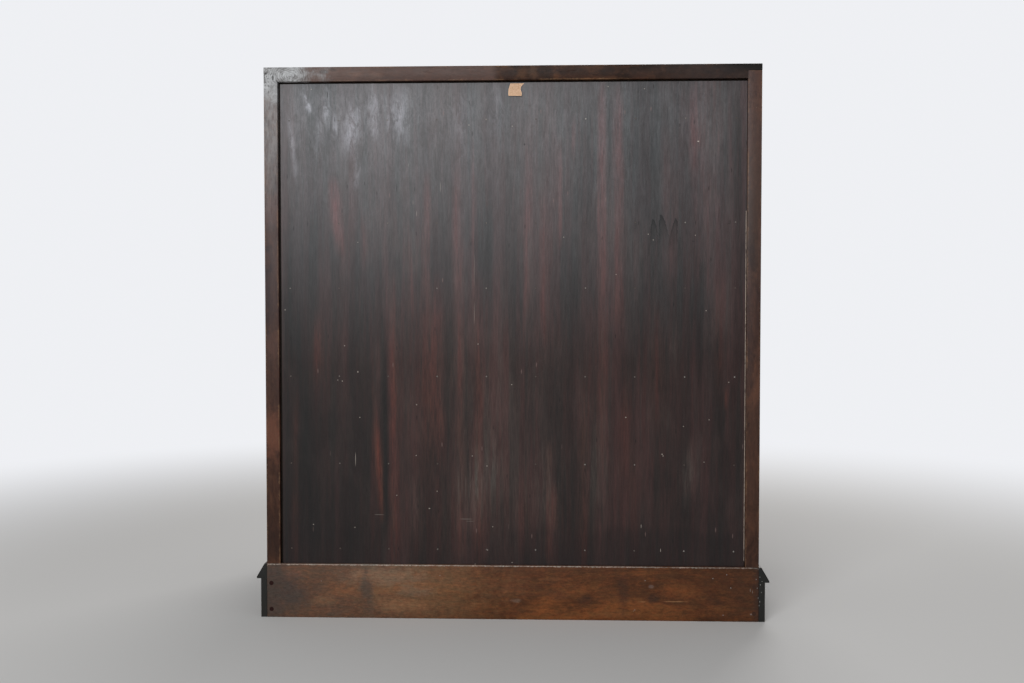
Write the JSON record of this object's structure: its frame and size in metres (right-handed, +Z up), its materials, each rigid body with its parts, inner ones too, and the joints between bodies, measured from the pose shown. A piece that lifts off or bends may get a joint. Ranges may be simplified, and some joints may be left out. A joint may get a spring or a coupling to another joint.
{
  "type": "writing bureau",
  "caption": "Slant front writing bureau: fold down flap on pull out supports, long drawers with bail handles, fitted gallery inside and a moulded plinth.",
  "frame": {"origin": "on the floor, under the middle of the whole piece with its handles and plinth", "axes": "+X to the right seen from the front, -Y out of the front, +Z up"},
  "size_m": [0.938, 0.475, 1.007],
  "materials": {
    "stained_wood": "dark stain under gloss varnish, worn at the edges",
    "plywood_back": "black brown stained plywood under varnish, upright grain",
    "drawer_wood": "unvarnished, aged",
    "brass": "aged, rubbed bright on the high places",
    "steel": "dulled"
  },
  "bodies": {
    "carcase": {"side_left": "stained_wood", "side_right": "stained_wood", "top_board": "stained_wood", "bottom_board": "stained_wood", "back_panel": "plywood_back", "back_brads": "steel", "desk_bed": "stained_wood", "divider_upper": "stained_wood", "divider_middle": "stained_wood", "divider_lower": "stained_wood", "top_drawer_frame": "stained_wood", "plinth_front_rail": "stained_wood", "plinth_front": "stained_wood", "plinth_left": "stained_wood", "plinth_right": "stained_wood", "plinth_back": "stained_wood", "moulding_front": "stained_wood", "moulding_left": "stained_wood", "moulding_right": "stained_wood", "glue_blocks": "drawer_wood", "gallery_shelf": "stained_wood", "gallery_uprights": "stained_wood", "gallery_drawer_tops": "stained_wood", "flap_stop": "stained_wood", "hinge_bed_leaves": "brass", "hinge_pins": "steel", "lock_strike": "brass"},
    "flap": {"flap_board": "stained_wood", "flap_end_left": "stained_wood", "flap_end_right": "stained_wood", "hinge_flap_leaves": "brass", "flap_lock": "brass", "flap_escutcheon": "brass"},
    "key": {"flap_key": "steel"},
    "bolt": {"flap_lock_bolt": "steel"},
    "support_left": {"loper_left": "stained_wood"},
    "support_right": {"loper_right": "stained_wood"},
    "drawer_1": {"drawer_1_front": "stained_wood", "drawer_1_box": "drawer_wood", "drawer_1_posts": "brass"},
    "handle_1_left": {"bail_1_left": "brass"},
    "handle_1_right": {"bail_1_right": "brass"},
    "drawer_2": {"drawer_2_front": "stained_wood", "drawer_2_box": "drawer_wood", "drawer_2_posts": "brass"},
    "handle_2_left": {"bail_2_left": "brass"},
    "handle_2_right": {"bail_2_right": "brass"},
    "drawer_3": {"drawer_3_front": "stained_wood", "drawer_3_box": "drawer_wood", "drawer_3_posts": "brass"},
    "handle_3_left": {"bail_3_left": "brass"},
    "handle_3_right": {"bail_3_right": "brass"},
    "drawer_4": {"drawer_4_front": "stained_wood", "drawer_4_box": "drawer_wood", "drawer_4_posts": "brass"},
    "handle_4_left": {"bail_4_left": "brass"},
    "handle_4_right": {"bail_4_right": "brass"},
    "inner_drawer_left": {"small_drawer_left": "stained_wood"},
    "inner_drawer_right": {"small_drawer_right": "stained_wood"}
  },
  "joints": [
    {"name": "flap_hinge", "type": "hinge", "parent": "carcase", "child": "flap", "pos_m": [0, -0.19511, 0.7365], "axis": [1, 0, 0], "range_deg": [0, 130]},
    {"name": "key_turn", "type": "hinge", "parent": "flap", "child": "key", "pos_m": [0, -0.03116, 0.96923], "axis": [0, -0.766, 0.6428], "range_deg": [0, 180]},
    {"name": "bolt_slide", "type": "slide", "parent": "flap", "child": "bolt", "axis": [0, 0.6428, 0.766], "range_m": [0, 0.008]},
    {"name": "support_left_slide", "type": "slide", "parent": "carcase", "child": "support_left", "axis": [0, -1, 0], "range_m": [0, 0.3]},
    {"name": "support_right_slide", "type": "slide", "parent": "carcase", "child": "support_right", "axis": [0, -1, 0], "range_m": [0, 0.3]},
    {"name": "drawer_1_slide", "type": "slide", "parent": "carcase", "child": "drawer_1", "axis": [0, -1, 0], "range_m": [0, 0.3]},
    {"name": "handle_1_left_swing", "type": "hinge", "parent": "drawer_1", "child": "handle_1_left", "pos_m": [-0.27, -0.2315, 0.66925], "axis": [-1, 0, 0], "range_deg": [0, 85]},
    {"name": "handle_1_right_swing", "type": "hinge", "parent": "drawer_1", "child": "handle_1_right", "pos_m": [0.27, -0.2315, 0.66925], "axis": [-1, 0, 0], "range_deg": [0, 85]},
    {"name": "drawer_2_slide", "type": "slide", "parent": "carcase", "child": "drawer_2", "axis": [0, -1, 0], "range_m": [0, 0.3]},
    {"name": "handle_2_left_swing", "type": "hinge", "parent": "drawer_2", "child": "handle_2_left", "pos_m": [-0.27, -0.2315, 0.53715], "axis": [-1, 0, 0], "range_deg": [0, 85]},
    {"name": "handle_2_right_swing", "type": "hinge", "parent": "drawer_2", "child": "handle_2_right", "pos_m": [0.27, -0.2315, 0.53715], "axis": [-1, 0, 0], "range_deg": [0, 85]},
    {"name": "drawer_3_slide", "type": "slide", "parent": "carcase", "child": "drawer_3", "axis": [0, -1, 0], "range_m": [0, 0.3]},
    {"name": "handle_3_left_swing", "type": "hinge", "parent": "drawer_3", "child": "handle_3_left", "pos_m": [-0.27, -0.2315, 0.3764], "axis": [-1, 0, 0], "range_deg": [0, 85]},
    {"name": "handle_3_right_swing", "type": "hinge", "parent": "drawer_3", "child": "handle_3_right", "pos_m": [0.27, -0.2315, 0.3764], "axis": [-1, 0, 0], "range_deg": [0, 85]},
    {"name": "drawer_4_slide", "type": "slide", "parent": "carcase", "child": "drawer_4", "axis": [0, -1, 0], "range_m": [0, 0.3]},
    {"name": "handle_4_left_swing", "type": "hinge", "parent": "drawer_4", "child": "handle_4_left", "pos_m": [-0.27, -0.2315, 0.2184], "axis": [-1, 0, 0], "range_deg": [0, 85]},
    {"name": "handle_4_right_swing", "type": "hinge", "parent": "drawer_4", "child": "handle_4_right", "pos_m": [0.27, -0.2315, 0.2184], "axis": [-1, 0, 0], "range_deg": [0, 85]},
    {"name": "inner_drawer_left_slide", "type": "slide", "parent": "carcase", "child": "inner_drawer_left", "axis": [0, -1, 0], "range_m": [0, 0.12]},
    {"name": "inner_drawer_right_slide", "type": "slide", "parent": "carcase", "child": "inner_drawer_right", "axis": [0, -1, 0], "range_m": [0, 0.12]}
  ],
  "couplings": [
    {"joint": "bolt_slide", "follows": "key_turn", "m_per_rad": 0.0025465}
  ]
}
